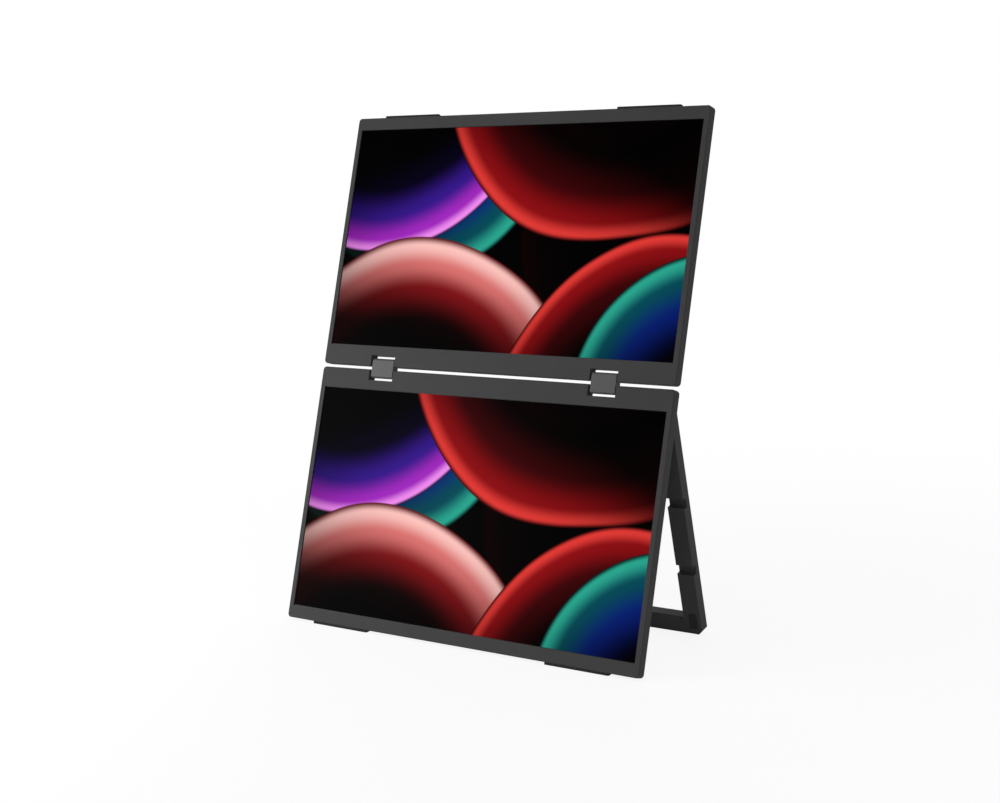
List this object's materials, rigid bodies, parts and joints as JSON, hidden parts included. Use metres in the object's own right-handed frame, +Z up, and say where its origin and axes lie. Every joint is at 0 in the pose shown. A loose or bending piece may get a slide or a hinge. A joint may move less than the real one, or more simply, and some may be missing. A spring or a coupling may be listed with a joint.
{
  "type": "dual portable monitor",
  "caption": "Stacked pair of portable screens joined by double-axis hinge blocks, with a fold-out frame stand behind the lower one.",
  "frame": {"origin": "on the table, under the middle of the object's box", "axes": "+X to the viewer's right along the hinges, -Y towards the viewer, +Z up"},
  "size_m": [0.3557, 0.1566, 0.4269],
  "materials": {
    "casing": "fine moulded texture",
    "stand": "fine moulded texture",
    "hinge_block": "satin",
    "button": "satin",
    "rubber": "matte",
    "display": "semi-gloss",
    "light_guide": "clear acrylic",
    "tray": "bare sheet",
    "circuit_board": "solder mask",
    "ribbon": "film",
    "shield": "tinplate",
    "casting": "die cast",
    "steel": "turned",
    "screw": "blackened",
    "bush": "turned",
    "speaker": "matte"
  },
  "bodies": {
    "lower_monitor": {"lower_bezel": "casing", "lower_rear_cover": "casing", "lower_display_cell": "display", "lower_light_guide": "light_guide", "lower_backlight_tray": "tray", "lower_driver_board": "circuit_board", "lower_ribbon": "ribbon", "lower_hinge_bracket_left": "casting", "lower_hinge_bracket_right": "casting", "lower_hinge_pin_left": "steel", "lower_hinge_pin_right": "steel", "lower_foot_left": "rubber", "lower_foot_right": "rubber", "lower_friction_washers": "steel", "lower_case_screws": "screw", "lower_bracket_screws": "screw", "main_board": "circuit_board", "board_shield": "shield", "board_screws": "steel", "usb_c_sockets": "shield", "hdmi_socket": "shield", "speaker_left": "speaker", "speaker_right": "speaker", "key_board": "circuit_board", "stand_mount_left": "stand", "stand_mount_right": "stand", "stand_pin_left": "steel", "stand_pin_right": "steel", "stand_mount_screws": "screw"},
    "hinge_link": {"hinge_block_left": "hinge_block", "hinge_block_right": "hinge_block", "hinge_bushes_left": "bush", "hinge_bushes_right": "bush"},
    "upper_monitor": {"upper_bezel": "casing", "upper_rear_cover": "casing", "upper_display_cell": "display", "upper_light_guide": "light_guide", "upper_backlight_tray": "tray", "upper_driver_board": "circuit_board", "upper_ribbon": "ribbon", "upper_hinge_bracket_left": "casting", "upper_hinge_bracket_right": "casting", "upper_hinge_pin_left": "steel", "upper_hinge_pin_right": "steel", "upper_foot_left": "rubber", "upper_foot_right": "rubber", "upper_friction_washers": "steel", "upper_case_screws": "screw", "upper_bracket_screws": "screw"},
    "stand": {"stand_frame": "stand", "stand_bushes": "bush", "stand_pad_left": "rubber", "stand_pad_right": "rubber"},
    "power_button": {"power_button": "button"},
    "menu_up_button": {"menu_up_button": "button"},
    "menu_down_button": {"menu_down_button": "button"}
  },
  "joints": [
    {"name": "link_fold", "type": "hinge", "parent": "lower_monitor", "child": "hinge_link", "pos_m": [0, -0.00192, 0.20727], "axis": [1, 0, 0], "range_deg": [-45, 90]},
    {"name": "screen_fold", "type": "hinge", "parent": "hinge_link", "child": "upper_monitor", "pos_m": [0, 0.00197, 0.21831], "axis": [1, 0, 0], "range_deg": [-45, 90]},
    {"name": "stand_fold", "type": "hinge", "parent": "lower_monitor", "child": "stand", "pos_m": [0, 0.00431, 0.19517], "axis": [1, 0, 0], "range_deg": [-30.5, 44.5]},
    {"name": "power_press", "type": "slide", "parent": "lower_monitor", "child": "power_button", "axis": [1, 0, 0], "range_m": [0, 0.00035], "stiffness_N_per_m": 1500, "springref_m": -0.0005},
    {"name": "menu_up_press", "type": "slide", "parent": "lower_monitor", "child": "menu_up_button", "axis": [1, 0, 0], "range_m": [0, 0.00035], "stiffness_N_per_m": 1500, "springref_m": -0.0005},
    {"name": "menu_down_press", "type": "slide", "parent": "lower_monitor", "child": "menu_down_button", "axis": [1, 0, 0], "range_m": [0, 0.00035], "stiffness_N_per_m": 1500, "springref_m": -0.0005}
  ]
}
